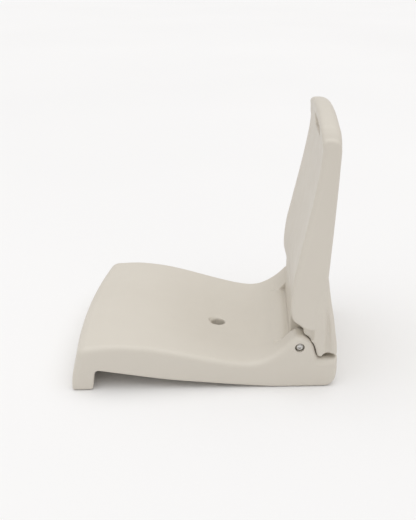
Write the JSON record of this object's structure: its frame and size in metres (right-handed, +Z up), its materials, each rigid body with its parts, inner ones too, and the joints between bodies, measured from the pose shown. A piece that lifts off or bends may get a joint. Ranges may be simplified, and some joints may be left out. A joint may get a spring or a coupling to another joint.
{
  "type": "folding floor seat",
  "caption": "Legless moulded plastic floor seat with an S-curved, dished seat on a front lip, a drain hole, and a tall hand-slotted backrest that folds forward on two bolts",
  "frame": {"origin": "on the floor, at the middle of the seat's footprint", "axes": "+X to the sitter's left along the hinge axis, +Y to the rear, +Z up"},
  "size_m": [0.3814, 0.436, 0.429],
  "materials": {
    "seat_plastic": "fine grained, warm grey beige",
    "plug_plastic": "satin",
    "sliding_plastic": "smooth turned",
    "zinc_steel": "zinc plated",
    "brass": "turned",
    "buffer_rubber": "matt"
  },
  "bodies": {
    "seat": {"seat_body": "seat_plastic", "seat_vent_plug": "plug_plastic", "ear_bushing_left": "sliding_plastic", "ear_bushing_right": "sliding_plastic", "thrust_washer_left": "sliding_plastic", "thrust_washer_right": "sliding_plastic", "bolt_washer_left": "zinc_steel", "bolt_washer_right": "zinc_steel"},
    "back": {"back_body": "seat_plastic", "back_vent_plug": "plug_plastic", "pivot_bolt_left": "zinc_steel", "pivot_bolt_right": "zinc_steel", "hub_insert_left": "brass", "hub_insert_right": "brass", "stop_buffer_left": "buffer_rubber", "stop_buffer_right": "buffer_rubber"}
  },
  "joints": [
    {"name": "back_fold", "type": "hinge", "parent": "seat", "child": "back", "pos_m": [0, 0.1564, 0.0701], "axis": [1, 0, 0], "range_deg": [0, 90]}
  ]
}
